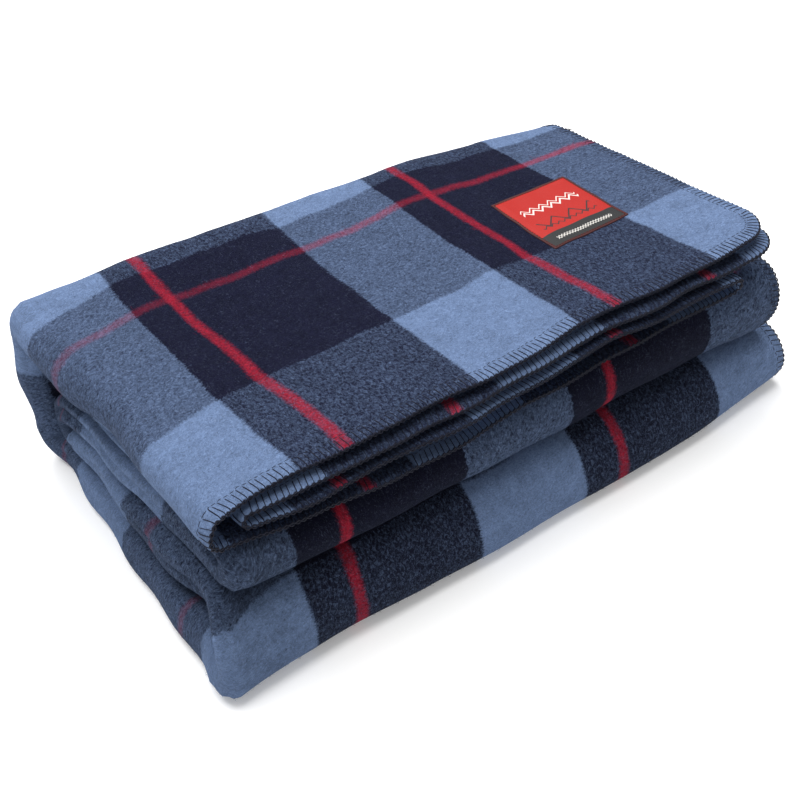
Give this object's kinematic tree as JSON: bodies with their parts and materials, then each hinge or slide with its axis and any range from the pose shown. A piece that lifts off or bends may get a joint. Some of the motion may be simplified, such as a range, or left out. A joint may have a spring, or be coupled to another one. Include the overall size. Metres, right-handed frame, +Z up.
{
  "type": "folded camp blanket",
  "caption": "Plaid napped wool camp blanket with overlocked edges and a sewn woven label, folded into a thick flat pack.",
  "frame": {"origin": "centre of the underside of the folded pack", "axes": "+X along the long front edge towards the loose cloth edges, +Y to the back turn, +Z up"},
  "size_m": [0.536, 0.297, 0.1629],
  "materials": {
    "wool_cloth": "napped wool, woven plaid of light blue, navy and a narrow red stripe, matt and fuzzy",
    "overlock_thread": "dark navy overlock thread, soft twist",
    "woven_label": "woven satin label, rust red with a near-black band",
    "label_thread": "near-black sewing thread"
  },
  "bodies": {
    "folded_stack": {"cloth_lower_folds": "wool_cloth", "thread_far_edge": "overlock_thread", "thread_first_lower": "overlock_thread", "thread_second_lower": "overlock_thread"},
    "back_turn": {"cloth_back_turn": "wool_cloth", "thread_first_back": "overlock_thread", "thread_second_back": "overlock_thread"},
    "top_flap": {"cloth_top_panel": "wool_cloth", "thread_front_edge": "overlock_thread", "thread_first_top": "overlock_thread", "thread_second_top": "overlock_thread", "label": "woven_label", "label_thread": "label_thread"}
  },
  "joints": [
    {"name": "low_fold_line", "type": "hinge", "parent": "folded_stack", "child": "back_turn", "pos_m": [0, 0.13914, 0.00936], "axis": [-1, 0, 0], "range_deg": [0, 90]},
    {"name": "high_fold_line", "type": "hinge", "parent": "back_turn", "child": "top_flap", "pos_m": [0, 0.13914, 0.15244], "axis": [-1, 0, 0], "range_deg": [0, 90]}
  ],
  "couplings": [
    {"joint": "low_fold_line", "follows": "high_fold_line", "ratio": 1}
  ]
}
